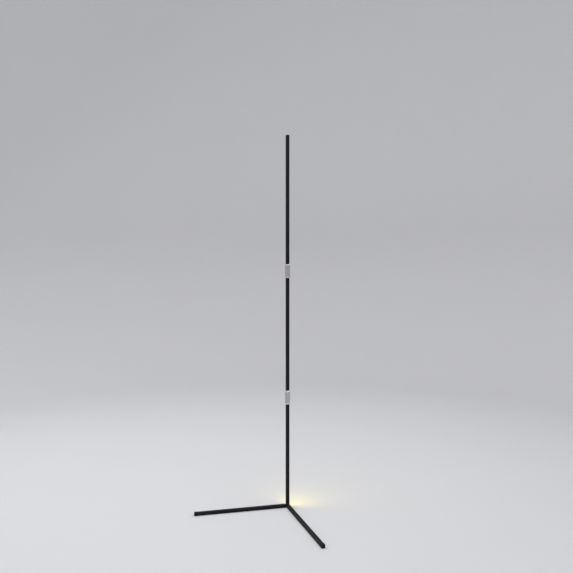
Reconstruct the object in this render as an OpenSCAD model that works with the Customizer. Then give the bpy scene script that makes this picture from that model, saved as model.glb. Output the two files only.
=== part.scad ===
// Corner floor lamp: a slim three-piece pole with a light strip that faces the corner of a room,
// two square sleeves over its joints, and two bar legs that swing on one bolt under its foot.
// Origin: on the floor, on the pole's axis. +Z up, +Y into the corner of the room, +X to the right.

/* [Pole] */
// Overall height, floor to top of cap
overall_h = 1420; // [1300:10:1600]
// Width of the square section
pole_w = 12; // [12:0.5:16]
// Wall of the aluminium section
wall_t = 1.2; // [1:0.1:1.4]
// Height of the joint between the lower and middle sections
lower_joint_z = 419; // [380:1:460]
// Height of the joint between the middle and upper sections
upper_joint_z = 900; // [840:1:940]

/* [Joint sleeves] */
// Wall of the square sleeve
collar_wall = 2.2; // [1.8:0.1:4]
// Length of the sleeve
collar_h = 52; // [40:2:60]
// Length of the key in the back channel
key_l = 60; // [40:2:80]

/* [Legs] */
// Pivot to tip of the end cap
leg_l = 352; // [300:2:400]
// Width of the leg bar
leg_w = 12; // [12:0.5:14]
// Height of the leg bar
leg_h = 11; // [10:0.2:14]
// Angle of each leg from straight ahead
leg_angle = 48; // [38:1:80]
// How far the rubber pads stand out under the bars
pad_t = 1; // [0.8:0.1:1.6]

/* [Light strip] */
// Distance between light chips
led_pitch = 33.3; // [16:0.1:50]
// Width of the circuit board
board_w = 8.4; // [7:0.1:8.6]

/* [Hidden] */
$fn = 48;

black_paint = "#141416";
black_plastic = "#1b1b1d";
rubber_black = "#101011";
satin_silver = "#b9b9bd";
milky = "#f1f1ee";
board_white = "#e9ebe6";
steel = "#9a9ca0";
brass = "#c9a558";
nylon = "#202022";

half = pole_w / 2;
diag = sqrt(2);
eps = 0.01;
far = 40;

// Pole section
corner_r = 0.8;
lip_l = 0.8;
lip_t = 0.5;
inner = half - wall_t;
bed_y = -2.2;
bed_t = 1;
slide_gap = 0.2;
part_gap = 0.08;

// Diffuser: an arc between the tips of the walls
diff_r = 0.55 * pole_w;
diff_y = 0.2;
diff_t = 1.2;
diff_toe_y = -0.6;
hook_gap = 0.12;
arc_steps = 36;

// Circuit boards, light chips and the plugs between the sections
board_t = 1.2;
board_top_y = bed_y + board_t;
led_w = 5;
led_t = 1.2;
lens_r = 2.1;
lens_t = 0.2;
end_clear = 16;
header_w = 8;
header_t = 4;
header_l = 8;
header_gap = 0.4;
pin_pitch = 2;
pin_count = 4;
pin_r = 0.4;
pin_hole_r = 0.5;
pin_l = 6;
pin_y = board_top_y + 2;

// Joint sleeves
collar_w = pole_w + 2 * collar_wall;
collar_r = 0.8;
grub_low = 8;
grub_r = 1.5;
grub_l = collar_wall - 0.1;
grub_pitch = collar_h / 2 - 14;
hex_w = 1.5;
key_gap = 0.15;
key_flat = 0.4;

// Legs, stacked on one shoulder bolt
tongue_l = 7;
washer_t = 0.5;
washer_room = 0.6;
bar_z = pad_t;
tongue_h = (leg_h - washer_room) / 2;
upper_tongue_z = bar_z + tongue_h + washer_room;
leg_top_z = bar_z + leg_h;
bar_r = 0.8;
cap_wall = 0.7;
cap_l = 12;
bar_end = leg_l - 1.4;
pad_l = 24;
pad_w = 9;
pad_inset = 16;

shoulder_r = 3;
shoulder_hole_r = 3.05;
thread_r = 2.45;
thread_hole_r = 2.5;
thread_l = 12;
bolt_head_r = 5;
bolt_head_h = 2;
bolt_head_z = pad_t + 0.65;
bolt_hex_w = 3;
head_pocket_r = 5.15;
head_pocket_z = pad_t + 2.7;
washer_r = 5.8;
washer_hole_r = 3.2;
centre_pad_r = 5.1;
centre_pad_h = pad_t + 0.6;

// Foot block with the supply socket
block_z = leg_top_z + washer_room;
profile_z = block_z + 0.4;
block_top_z = 46;
socket_z = 39;
socket_r = 2.9;
socket_front_y = 6.3;
socket_back_y = -3.7;
socket_bore_r = 1.8;
socket_bore_l = 9;
socket_pin_r = 0.65;
socket_pin_l = 7.6;
block_screw_z = 29;
block_screw_r = 1.5;
block_screw_head_r = 2.5;
lead_r = 0.6;
lead_x = 1.6;
lead_y = board_top_y + lead_r;
lead_z = socket_z + 1.7;
lead_l = 12;

// Top cap
cap_plate_t = 2.6;
cap_edge = 0.5;
cap_plug_l = 9;

lower_start = block_top_z + 0.4;
profile_top = overall_h - cap_plate_t;

// ---------- outlines ----------

// A rectangle with round corners, made of true arcs
module round_rect(w, h, r) {
    square([w - 2 * r, h], center = true);
    square([w, h - 2 * r], center = true);
    for (x = [-1, 1], y = [-1, 1])
        translate([x * (w / 2 - r), y * (h / 2 - r)]) circle(r = r);
}

// Half-width between the inner faces of the walls at depth y
function inner_x(y) = diag * inner + y;

// The two walls of the pole, meeting in a corner that points at the viewer
module wall_outline(grow = 0) {
    rotate(45)
        for (m = [0, 1])
            mirror([m, -m, 0]) {
                translate([-half + corner_r, -half])
                    square([pole_w - corner_r, wall_t + grow]);
                translate([half - lip_l - grow, -half])
                    square([lip_l + grow, wall_t + lip_t + grow]);
            }
    rotate(45) intersection() {
        translate([-half + corner_r, -half + corner_r]) circle(r = corner_r);
        translate([-half, -half]) square(corner_r + eps);
    }
}

// The web across the walls that the circuit board is stuck to
module bed_outline() {
    bite = 0.4;
    polygon([
        [-inner_x(bed_y) - bite, bed_y], [inner_x(bed_y) + bite, bed_y],
        [inner_x(bed_y - bed_t) + bite, bed_y - bed_t],
        [-inner_x(bed_y - bed_t) - bite, bed_y - bed_t]
    ]);
}

// A point at distance along a wall and depth from its outer face, on the side asked for
function across_wall(side, along, depth) = [side * (along + depth) / diag, (along - depth) / diag];

// Everything inside the walls and under the curve of the diffuser
module core_outline(gap = part_gap) {
    difference() {
        translate([0, diff_y]) circle(r = diff_r);
        wall_outline(gap);
        rotate(45) translate([-far, -far]) square([2 * far, far - inner + gap]);
        rotate(45) translate([-far, -far]) square([far - inner + gap, 2 * far]);
    }
}

// Points along an arc about the diffuser's centre, from one angle to another
function arc_points(r, from, to) = [
    for (i = [0:arc_steps])
        let (angle = from + (to - from) * i / arc_steps)
        [r * cos(angle), diff_y + r * sin(angle)]
];

// Corners of the hook that lies under the lip of a wall: where it leaves the outer arc,
// where it meets the wall, and its toe
function hook_points(side) =
    let (
        end = half - lip_l - hook_gap,
        face = inner - part_gap,
        shift = diff_y / diag,
        meet = sqrt(pow(diff_r, 2) - pow(end - shift, 2)) - shift
    )
    [
        across_wall(side, end, meet),
        across_wall(side, end, face),
        across_wall(side, face + diag * diff_toe_y, face)
    ];

// The arc of the diffuser, with a hook along each edge
module diffuser_outline() {
    left = hook_points(-1);
    right = hook_points(1);
    start = asin((right[0].y - diff_y) / diff_r);
    toe = asin((diff_toe_y - diff_y) / (diff_r - diff_t));
    polygon(concat(
        arc_points(diff_r, start, 180 - start),
        [left[1], left[2]],
        arc_points(diff_r - diff_t, 180 - toe, toe),
        [right[2], right[1]]
    ));
}

// The outside of the pole: walls and diffuser together
module pole_outline(grow = 0) {
    rotate(45) intersection() {
        square(pole_w + 2 * grow, center = true);
        rotate(-45) translate([-far, lip_t + lip_l - 2 * far]) square(2 * far);
    }
    intersection() {
        translate([0, diff_y]) circle(r = diff_r + grow);
        translate([-far, 0]) square(2 * far);
    }
}

// ---------- pieces of the pole, repeated in each section ----------

module profile(z0, z1, bed_z0) {
    color(black_paint) {
        translate([0, 0, z0]) linear_extrude(z1 - z0) wall_outline();
        translate([0, 0, bed_z0]) linear_extrude(z1 - bed_z0) bed_outline();
    }
}

module diffuser(z0, z1) {
    color(milky) translate([0, 0, z0]) linear_extrude(z1 - z0) diffuser_outline();
}

module led_board(z0, z1) {
    color(board_white) translate([-board_w / 2, bed_y, z0]) cube([board_w, board_t, z1 - z0]);
}

// Heights of the light chips on a board, spread evenly between its plugs
function led_heights(z0, z1) =
    let (room = z1 - z0 - 2 * end_clear, count = floor(room / led_pitch), step = room / count)
    [for (i = [0:count]) z0 + end_clear + i * step];

module leds(z0, z1) {
    color("#f4f1d8")
        for (z = led_heights(z0, z1))
            translate([0, board_top_y, z]) {
                translate([-led_w / 2, 0, -led_w / 2]) cube([led_w, led_t, led_w]);
                translate([0, led_t - eps, 0]) rotate([-90, 0, 0])
                    cylinder(r = lens_r, h = lens_t + eps);
            }
}

function pin_places() = [for (i = [0:pin_count - 1]) (i - (pin_count - 1) / 2) * pin_pitch];

// Housing that is soldered across the end of a board, with holes for the pins
module board_header(z0, hole_r) {
    color(board_white) difference() {
        translate([-header_w / 2, board_top_y, z0]) cube([header_w, header_t, header_l]);
        for (x = pin_places())
            translate([x, pin_y, z0 - 1]) cylinder(r = hole_r, h = header_l + 2);
    }
}

module board_socket(joint_z) {
    board_header(joint_z - header_gap - header_l, pin_hole_r);
}

module board_plug(joint_z) {
    board_header(joint_z + header_gap, pin_r);
}

module plug_pins(joint_z) {
    color(brass)
        for (x = pin_places())
            translate([x, pin_y, joint_z - pin_l])
                cylinder(r = pin_r, h = pin_l + header_gap + header_l);
}

// Where a grub screw goes through the sleeve's left face
module at_grubs(joint_z, reach) {
    for (k = [0, 1])
        translate([0, 0, joint_z - collar_h / 2 + grub_low + k * grub_pitch])
            rotate([0, 0, -135]) translate([reach, 0, 0]) rotate([0, 90, 0]) children();
}

module collar(joint_z) {
    color(satin_silver) difference() {
        translate([0, 0, joint_z - collar_h / 2]) linear_extrude(collar_h) difference() {
            rotate(45) round_rect(collar_w, collar_w, collar_r);
            pole_outline(slide_gap);
        }
        at_grubs(joint_z, half - 1) cylinder(r = grub_r, h = far);
    }
}

module collar_screws(joint_z) {
    color(steel)
        at_grubs(joint_z, half) difference() {
            cylinder(r = grub_r - 0.05, h = grub_l);
            translate([0, 0, grub_l - 1]) cylinder(d = hex_w / cos(30), h = 2, $fn = 6);
        }
}

// Rod in the three-sided channel behind the circuit board, half of it in each section
module joint_key(joint_z) {
    low = -diag * (inner - key_gap);
    top = bed_y - bed_t - key_gap;
    wide = top - low;
    color(steel) translate([0, 0, joint_z - key_l / 2])
        linear_extrude(key_l) polygon([
            [-key_flat, low + key_flat], [key_flat, low + key_flat], [wide, top], [-wide, top]
        ]);
}

// ---------- lower section and foot ----------

module lower_profile() {
    difference() {
        profile(profile_z, lower_joint_z, lower_start);
        color(black_paint) for (side = [-1, 1]) block_screw(side, 0.1);
    }
}
module lower_diffuser() { diffuser(lower_start, lower_joint_z - header_gap); }
module lower_led_board() { led_board(lower_start, lower_joint_z - header_gap); }
module lower_leds() { leds(lower_start, lower_joint_z); }

// Controller, voltage regulator and memory, soldered between the lowest light chips
module lower_control_chips() {
    z = led_heights(lower_start, lower_joint_z);
    places = [(z[0] + z[1]) / 2, (z[1] + z[2]) / 2, (z[2] + z[3]) / 2];
    sizes = [[5, 1.5, 6.2], [4, 1.4, 5], [3, 1, 4.4]];
    color("#1c1d1f")
        for (i = [0:2])
            translate([-sizes[i][0] / 2, board_top_y, places[i] - sizes[i][2] / 2]) cube(sizes[i]);
}

module lower_board_socket() { board_socket(lower_joint_z); }
module lower_collar() { collar(lower_joint_z); }
module lower_collar_screws() { collar_screws(lower_joint_z); }
module lower_joint_key() { joint_key(lower_joint_z); }

// Countersunk screw through one wall into the foot block
module block_screw(side, grow = 0) {
    length = 4.4;
    head_h = 1;
    translate([0, 0, block_screw_z]) rotate([0, 0, side * 45 - 90]) translate([half, 0, 0])
        rotate([0, -90, 0]) {
            cylinder(r = block_screw_r + grow, h = length + grow);
            translate([0, 0, -eps])
                cylinder(r1 = block_screw_head_r + grow, r2 = block_screw_r + grow, h = head_h);
        }
}

module foot_block_screws() {
    color(steel)
        for (side = [-1, 1])
            difference() {
                block_screw(side);
                translate([0, 0, block_screw_z]) rotate([0, 0, side * 45 - 90])
                    translate([half - 0.8, 0, 0]) rotate([0, 90, 0])
                        cylinder(d = 2 / cos(30), h = 2, $fn = 6);
            }
}

module foot_block() {
    color(black_plastic) difference() {
        translate([0, 0, block_z]) linear_extrude(block_top_z - block_z) core_outline(0.1);
        translate([0, 0, block_z - 1]) cylinder(r = thread_hole_r, h = thread_l + 2.4);
        for (side = [-1, 1]) block_screw(side, 0.02);
        translate([0, socket_back_y - 0.1, socket_z]) rotate([-90, 0, 0])
            cylinder(r = socket_r + 0.05, h = far);
        for (x = [-lead_x, lead_x])
            translate([x, lead_y, socket_z]) cylinder(r = lead_r + 0.15, h = far);
    }
}

module dc_socket_body() {
    color(black_plastic) difference() {
        translate([0, socket_back_y, socket_z]) rotate([-90, 0, 0])
            cylinder(r = socket_r, h = socket_front_y - socket_back_y);
        translate([0, socket_front_y - socket_bore_l, socket_z]) rotate([-90, 0, 0])
            cylinder(r = socket_bore_r, h = far);
        translate([0, socket_back_y - 1, socket_z]) rotate([-90, 0, 0])
            cylinder(r = socket_pin_r, h = far);
        for (x = [-lead_x, lead_x])
            translate([x, lead_y, lead_z - 0.1]) cylinder(r = lead_r + 0.05, h = far);
    }
}

module dc_socket_pin() {
    color(brass) translate([0, socket_back_y, socket_z]) rotate([-90, 0, 0]) {
        cylinder(r = socket_pin_r, h = socket_front_y - socket_bore_l - socket_back_y + socket_pin_l);
        translate([0, 0, socket_front_y - socket_bore_l - socket_back_y + socket_pin_l])
            sphere(r = socket_pin_r);
    }
}

// Two short leads from the socket's contacts to the pads of the lowest board
module inlet_leads() {
    color("#8c1f1c")
        for (x = [-lead_x, lead_x])
            translate([x, lead_y, lead_z]) cylinder(r = lead_r, h = lead_l);
}

module pivot_bolt() {
    color(steel) difference() {
        translate([0, 0, bolt_head_z]) {
            cylinder(r = bolt_head_r, h = bolt_head_h);
            cylinder(r = shoulder_r, h = block_z - bolt_head_z);
            cylinder(r = thread_r, h = block_z - bolt_head_z + thread_l);
        }
        translate([0, 0, bolt_head_z - 1]) cylinder(d = bolt_hex_w / cos(30), h = 2.2, $fn = 6);
    }
}

// One washer between the tongues, and one between the upper tongue and the foot block
module pivot_washers() {
    color(nylon)
        for (z = [upper_tongue_z - washer_room, leg_top_z])
            translate([0, 0, z + (washer_room - washer_t) / 2])
                difference() {
                    cylinder(r = washer_r, h = washer_t);
                    translate([0, 0, -1]) cylinder(r = washer_hole_r, h = washer_t + 2);
                }
}

// ---------- middle section ----------

module middle_profile() { profile(lower_joint_z, upper_joint_z, lower_joint_z); }
module middle_diffuser() { diffuser(lower_joint_z, upper_joint_z - header_gap); }
module middle_led_board() { led_board(lower_joint_z + header_gap, upper_joint_z - header_gap); }
module middle_leds() { leds(lower_joint_z, upper_joint_z); }
module middle_board_plug() { board_plug(lower_joint_z); }
module middle_plug_pins() { plug_pins(lower_joint_z); }
module middle_board_socket() { board_socket(upper_joint_z); }
module upper_collar() { collar(upper_joint_z); }
module upper_collar_screws() { collar_screws(upper_joint_z); }
module upper_joint_key() { joint_key(upper_joint_z); }

// ---------- upper section ----------

module upper_profile() { profile(upper_joint_z, profile_top, upper_joint_z); }
module upper_diffuser() { diffuser(upper_joint_z, profile_top); }
module upper_led_board() { led_board(upper_joint_z + header_gap, profile_top - cap_plug_l - 1); }
module upper_leds() { leds(upper_joint_z, profile_top - 4); }
module upper_board_plug() { board_plug(upper_joint_z); }
module upper_plug_pins() { plug_pins(upper_joint_z); }

module top_cap() {
    plug_w = 7.6;
    color(black_plastic) {
        translate([0, 0, profile_top]) {
            linear_extrude(cap_plate_t - cap_edge) pole_outline();
            linear_extrude(cap_plate_t) pole_outline(-cap_edge);
        }
        translate([-plug_w / 2, board_top_y, profile_top - cap_plug_l])
            cube([plug_w, 4, cap_plug_l + eps]);
    }
}

// ---------- legs ----------

// Places a piece that is drawn along +X on the left (-1) or right (+1) leg
module on_leg(side) {
    rotate([0, 0, -90 + side * leg_angle]) children();
}

// A bar with its end cut to half its height, round and drilled, so that the two legs
// stack on the bolt: the right leg's tongue is the upper one
module leg_bar(side) {
    upper = side > 0;
    cut_z = upper ? bar_z - 1 : bar_z + tongue_h;
    cut_h = upper ? upper_tongue_z - cut_z : leg_h;
    color(black_paint) on_leg(side) difference() {
        union() {
            translate([0, 0, bar_z + leg_h / 2]) rotate([90, 0, 90])
                linear_extrude(bar_end) round_rect(leg_w, leg_h, bar_r);
            translate([0, 0, bar_z]) cylinder(r = leg_w / 2, h = leg_h);
        }
        translate([-far, -far, cut_z]) cube([far + tongue_l, 2 * far, cut_h]);
        cylinder(r = shoulder_hole_r, h = far);
        if (!upper) translate([0, 0, -1]) cylinder(r = head_pocket_r, h = head_pocket_z + 1);
    }
}

// Boot over the end of a bar
module leg_cap(side) {
    color(rubber_black) on_leg(side) translate([leg_l - cap_l, 0, bar_z + leg_h / 2])
        rotate([90, 0, 90]) difference() {
            linear_extrude(cap_l) round_rect(leg_w + 2 * cap_wall, leg_h + 2 * cap_wall, 1.5);
            translate([0, 0, -1]) linear_extrude(bar_end - leg_l + cap_l + 1)
                round_rect(leg_w, leg_h, bar_r);
        }
}

module foot_pad(side) {
    color(rubber_black) on_leg(side)
        translate([bar_end - pad_inset - pad_l, -pad_w / 2, 0]) cube([pad_l, pad_w, pad_t]);
}

module left_leg_bar() { leg_bar(-1); }
module left_leg_cap() { leg_cap(-1); }
module left_foot_pad() { foot_pad(-1); }

// Plug of rubber that closes the bolt's pocket and stands on the floor
module centre_foot_pad() {
    color(rubber_black) cylinder(r = centre_pad_r, h = centre_pad_h);
}

module right_leg_bar() { leg_bar(1); }
module right_leg_cap() { leg_cap(1); }
module right_foot_pad() { foot_pad(1); }

lower_profile();
lower_diffuser();
lower_led_board();
lower_leds();
lower_control_chips();
lower_board_socket();
lower_collar();
lower_collar_screws();
lower_joint_key();
foot_block();
foot_block_screws();
dc_socket_body();
dc_socket_pin();
inlet_leads();
pivot_bolt();
pivot_washers();
middle_profile();
middle_diffuser();
middle_led_board();
middle_leds();
middle_board_plug();
middle_plug_pins();
middle_board_socket();
upper_collar();
upper_collar_screws();
upper_joint_key();
upper_profile();
upper_diffuser();
upper_led_board();
upper_leds();
upper_board_plug();
upper_plug_pins();
top_cap();
left_leg_bar();
left_leg_cap();
left_foot_pad();
centre_foot_pad();
right_leg_bar();
right_leg_cap();
right_foot_pad();
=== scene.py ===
"""Looks of a slim corner floor lamp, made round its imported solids.

The lamp is a black pole in three sections with a strip of coloured light on its far side, two
silver sleeves over the joints, and two bar legs. All sizes are in metres, in the frame of the
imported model.
"""

import math

import bmesh
import bpy
import numpy as np
from bpy.props import FloatProperty, FloatVectorProperty, PointerProperty
from bpy.types import Operator, Panel, PropertyGroup
from mathutils import Matrix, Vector
from mathutils.geometry import tessellate_polygon


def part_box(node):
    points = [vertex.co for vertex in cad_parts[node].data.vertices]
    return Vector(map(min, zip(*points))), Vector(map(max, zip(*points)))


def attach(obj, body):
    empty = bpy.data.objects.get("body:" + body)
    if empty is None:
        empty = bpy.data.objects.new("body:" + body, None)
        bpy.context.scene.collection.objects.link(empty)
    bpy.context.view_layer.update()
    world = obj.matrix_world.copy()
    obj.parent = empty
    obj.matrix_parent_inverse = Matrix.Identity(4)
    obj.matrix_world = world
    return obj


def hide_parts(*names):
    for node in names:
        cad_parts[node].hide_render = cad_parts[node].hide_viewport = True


bl_info = {
    "name": "Corner floor lamp",
    "version": (1, 0, 0),
    "blender": (4, 5, 0),
    "location": "View3D > Sidebar > Corner Lamp",
    "description": "Finished surfaces, materials and a plain studio for a slim corner floor lamp",
    "category": "Add Mesh",
}

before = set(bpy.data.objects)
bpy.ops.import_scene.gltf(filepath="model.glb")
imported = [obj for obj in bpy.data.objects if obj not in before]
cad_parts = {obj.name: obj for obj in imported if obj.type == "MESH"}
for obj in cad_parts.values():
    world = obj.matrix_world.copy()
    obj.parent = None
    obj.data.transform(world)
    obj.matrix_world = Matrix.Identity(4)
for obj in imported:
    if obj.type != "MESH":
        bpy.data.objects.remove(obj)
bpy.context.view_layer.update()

MM = 0.001
ROOT_TWO = math.sqrt(2)
SECTIONS = ("lower", "middle", "upper")
SECTION_BODY = {"lower": "pole_foot", "middle": "middle_section", "upper": "upper_section"}
SLEEVE_BODY = {"lower": "pole_foot", "upper": "middle_section"}
SIDES = ("left", "right")

# Half-diagonal of the square pole, half its width, and the top of the lamp
POLE_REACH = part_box("lower_profile")[1].x
POLE_HALF = POLE_REACH / ROOT_TWO
LAMP_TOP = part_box("top_cap")[1].z
IMAGE_SIDE = 573
# Faces that turn by more than this meet in a sharp edge
SHARP_FROM = math.radians(32)
# Points that lie closer than this after a boolean are one point
MERGE = 0.01 * MM
# How far a cutter stands out past the face that it cuts
CLEAR = 1 * MM
# Steps of a rounding that is seen close, and the angles of such a quarter turn
CLOSE_STEPS = 6
QUARTER_TURN = np.linspace(0, np.pi / 2, CLOSE_STEPS + 1)


# ---------- settings ----------

def length(name, description, default):
    """A size in metres that a user may change."""
    return FloatProperty(name=name, description=description, default=default, min=0.0,
                         unit="LENGTH", precision=5)


def number(name, description, default):
    """A plain number that a user may change."""
    return FloatProperty(name=name, description=description, default=default, min=0.0, precision=3)


def colour(name, description, default):
    """A linear colour that a user may change."""
    return FloatVectorProperty(name=name, description=description, default=default, size=3,
                               subtype="COLOR", min=0.0, max=1.0)


class PoleSettings(PropertyGroup):
    wall: length("Wall", "Thickness of the section's walls", 1.2 * MM)
    lip_reach: length("Lip reach", "How far a lip runs along its wall", 0.8 * MM)
    lip_step: length("Lip step", "How far a lip stands in from its wall", 0.5 * MM)
    web_back: length("Web depth", "From the axis to the web's front face", 2.2 * MM)
    web_thickness: length("Web", "Thickness of the web that carries the board", 1.0 * MM)
    corner_radius: length("Corner radius", "Rounding of the corner that faces the room", 0.8 * MM)
    edge_radius: length("Edge radius", "Rounding of the other edges", 0.15 * MM)
    end_chamfer: length("End chamfer", "Deburred edge of the sawn ends", 0.12 * MM)
    black: colour("Anodised black", "Colour of the extruded sections", (0.004, 0.004, 0.0045))
    bare: colour("Worn edge", "Colour where the edges are rubbed", (0.05, 0.05, 0.053))


class StripSettings(PropertyGroup):
    radius: length("Radius", "Radius of the diffuser's outer arc", 6.6 * MM)
    centre: length("Centre", "From the axis to the arc's centre", 0.2 * MM)
    thickness: length("Thickness", "Wall of the diffuser", 1.2 * MM)
    toe: length("Toe depth", "From the axis back to the diffuser's toes", 0.6 * MM)
    hook_gap: length("Hook gap", "Play between a hook and its lip", 0.12 * MM)
    wall_gap: length("Wall gap", "Play between a hook and its wall", 0.08 * MM)
    milky: colour("Milky plastic", "Colour of the diffuser under its light", (0.13, 0.13, 0.13))
    brightness: number("Brightness", "Strength of the light between two chips", 0.85)
    spot_gain: number("Spot gain", "How much brighter the strip is over a chip", 0.6)
    spot_spread: length("Spot spread", "Size of the bright spot over a chip", 9.0 * MM)


class GlowSettings(PropertyGroup):
    foot: colour("Foot", "Light at the foot", (0.96, 0.79, 0.01))
    lime: colour("Lime", "Light just above the foot", (0.39, 0.71, 0.02))
    green: colour("Green", "Light in the lower section", (0.11, 0.60, 0.11))
    cyan: colour("Cyan", "Light over the lower sleeve", (0.03, 0.54, 0.71))
    blue: colour("Blue", "Light in the middle section", (0.04, 0.32, 0.83))
    violet: colour("Violet", "Light at the upper sleeve", (0.23, 0.08, 0.71))
    magenta: colour("Magenta", "Light in the upper section", (0.60, 0.03, 0.39))
    crimson: colour("Crimson", "Light at the top", (0.79, 0.014, 0.15))


class SleeveSettings(PropertyGroup):
    clearance: length("Clearance", "Play between a sleeve and the pole", 0.2 * MM)
    corner_radius: length("Corner radius", "Rounding of a sleeve's upright edges", 0.8 * MM)
    end_chamfer: length("End chamfer", "Machined edge at a sleeve's ends", 0.5 * MM)
    band: length("End band", "Length of the polished band at each end", 5.0 * MM)
    groove_width: length("Groove width", "Width of the groove behind each band", 0.6 * MM)
    groove_depth: length("Groove depth", "Depth of the groove behind each band", 0.2 * MM)
    silver: colour("Silver", "Colour of the anodised sleeves", (0.60, 0.60, 0.61))
    # Lighter silver of the polished bands, also used for the painted highlight along the edges
    polished: colour("Polished silver", "Colour of the bands and edges", (0.78, 0.78, 0.79))


class LegSettings(PropertyGroup):
    boot_rim: length("Boot rim", "Length of a boot's thicker rim", 1.4 * MM)
    boot_relief: length("Boot relief", "How far a boot's side lies in from its rim", 0.18 * MM)
    boot_round: length("Boot rounding", "Rounding of a boot's closed end", 1.2 * MM)
    boot_corner: length("Boot corner", "Rounding of a boot's long edges", 1.5 * MM)
    bar_corner: length("Bar corner", "Rounding of a bar's long edges", 0.8 * MM)
    boot_wall: length("Boot wall", "Thickness of a boot's sides", 0.7 * MM)
    boot_end: length("Boot end", "Thickness of a boot's closed end", 1.4 * MM)
    pad_length: length("Pad length", "Length of the pad under a leg's tip", 24.0 * MM)
    pad_width: length("Pad width", "Width of the pad under a leg's tip", 9.0 * MM)
    powder: colour("Powder coat", "Colour of the bars", (0.005, 0.005, 0.0055))
    rubber: colour("Rubber", "Colour of boots and pads", (0.007, 0.007, 0.007))


class InsideSettings(PropertyGroup):
    board: colour("Solder mask", "Colour of the circuit boards", (0.78, 0.80, 0.77))
    lens: colour("Lens", "Colour of a light chip's lens", (0.86, 0.72, 0.22))
    housing: colour("Housing", "Colour of the board connectors", (0.80, 0.79, 0.73))
    zinc: colour("Zinc plate", "Colour of the plated steel", (0.50, 0.51, 0.52))
    gold: colour("Gold plate", "Colour of the contacts", (0.83, 0.60, 0.24))
    insulation: colour("Insulation", "Colour of the leads", (0.42, 0.02, 0.02))
    nylon: colour("Nylon", "Colour of the washers", (0.016, 0.016, 0.017))
    moulded: colour("Moulded black", "Colour of the moulded parts", (0.006, 0.006, 0.0065))


class StageSettings(PropertyGroup):
    camera_distance: length("Camera distance", "From the camera to the pole's axis, level", 2.0966)
    camera_height: length("Camera height", "Height of the lens over the floor", 0.8418)
    camera_azimuth: FloatProperty(name="Camera azimuth", description="Where the camera stands",
                                  default=math.radians(28.82), subtype="ANGLE")
    focal_pixels: number("Focal length", "Focal length in pixels of the square image", 549.25)
    pole_shift: number("Pole shift", "How many pixels right of the middle the pole stands", 1.0)
    floor_radius: length("Floor radius", "Flat part of the floor", 2.6)
    sweep_radius: length("Sweep radius", "Radius of the sweep from floor to backdrop", 1.4)
    wall_height: length("Backdrop height", "Straight part of the backdrop", 3.0)
    pale: colour("Pale floor", "Colour of floor and backdrop", (0.60, 0.60, 0.61))
    sky: number("Sky", "Strength of the even light from all round", 1.0)
    top_light: number("Top light", "Power of the large soft light above, watts", 44.0)
    side_light: number("Side light", "Power of the soft light at the left, watts", 34.0)
    foot_glow: number("Foot glow", "Power of the strip's own light on the floor, watts", 0.14)


class CornerLampSettings(PropertyGroup):
    pole: PointerProperty(type=PoleSettings)
    strip: PointerProperty(type=StripSettings)
    glow: PointerProperty(type=GlowSettings)
    sleeve: PointerProperty(type=SleeveSettings)
    leg: PointerProperty(type=LegSettings)
    inside: PointerProperty(type=InsideSettings)
    stage: PointerProperty(type=StageSettings)


# ---------- outlines, as arrays of points in the plane of a section ----------

def arc(radius, start, end, steps, centre):
    """Points of an arc: centre + radius (cos a, sin a), with a evenly from start to end."""
    angle = np.linspace(start, end, steps + 1)
    return np.stack([radius * np.cos(angle), radius * np.sin(angle)], 1) + np.array(centre)


def rounded(corners, radii, steps=4):
    """A closed outline with an arc at each corner. The arc's centre lies on the bisector at
    radius / sin(half the corner's angle), and its points turn evenly from one tangent point to the
    other: (sin((1-s) w) a + sin(s w) b) / sin(w). Corners run anticlockwise. Also returns how near
    each point is to the middle of an outward corner, from 0 to 1."""
    corners = np.array(corners, float)
    radii = np.broadcast_to(np.array(radii, float), len(corners))
    back = np.roll(corners, 1, 0) - corners
    ahead = np.roll(corners, -1, 0) - corners
    back /= np.linalg.norm(back, axis=1, keepdims=True)
    ahead /= np.linalg.norm(ahead, axis=1, keepdims=True)
    half_angle = np.arccos(np.clip((back * ahead).sum(1), -1, 1)) / 2
    bisector = back + ahead
    bisector /= np.linalg.norm(bisector, axis=1, keepdims=True)
    centre = corners + bisector * (radii / np.sin(half_angle))[:, None]
    reach = (radii / np.tan(half_angle))[:, None]
    first = (corners + back * reach - centre)[:, None]
    last = (corners + ahead * reach - centre)[:, None]
    turn = (np.pi - 2 * half_angle)[:, None, None]
    s = np.linspace(0, 1, steps + 1)[None, :, None]
    swept = (np.sin((1 - s) * turn) * first + np.sin(s * turn) * last) / np.sin(turn)
    points = centre[:, None] + swept
    outward = ahead[:, 0] * back[:, 1] - ahead[:, 1] * back[:, 0] > 0
    edge = np.sin(np.pi * s[..., 0]) * outward[:, None]
    return points.reshape(-1, 2), edge.reshape(-1)


def mirrored(points):
    """The same points on the other side of the YZ plane, in the opposite order."""
    return np.array(points, float)[::-1] * (-1.0, 1.0)


def across_wall(along, depth):
    """A point at a distance along the right wall and a depth from the axis square to the wall."""
    return ((along + depth) / ROOT_TWO, (along - depth) / ROOT_TWO)


def section_outline(pole):
    """The extruded section: two walls that meet in a corner, a lip on each, and the web."""
    inner = POLE_HALF - pole.wall
    lip_depth = inner - pole.lip_step
    lip_start = POLE_HALF - pole.lip_reach
    right = [
        across_wall(POLE_HALF, POLE_HALF),
        across_wall(POLE_HALF, lip_depth),
        across_wall(lip_start, lip_depth),
        across_wall(lip_start, inner),
        (ROOT_TWO * inner - pole.web_back, -pole.web_back),
    ]
    corners = [(0, -POLE_REACH), *right, *mirrored(right)]
    radii = [pole.corner_radius] + [pole.edge_radius] * (len(corners) - 1)
    return rounded(corners, radii)


def channel_outline(pole):
    """The three-sided channel between the corner of the walls and the web."""
    low = ROOT_TWO * (POLE_HALF - pole.wall)
    back = pole.web_back + pole.web_thickness
    return rounded([(0, -low), (low - back, -back), (back - low, -back)], pole.edge_radius)[0]


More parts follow.
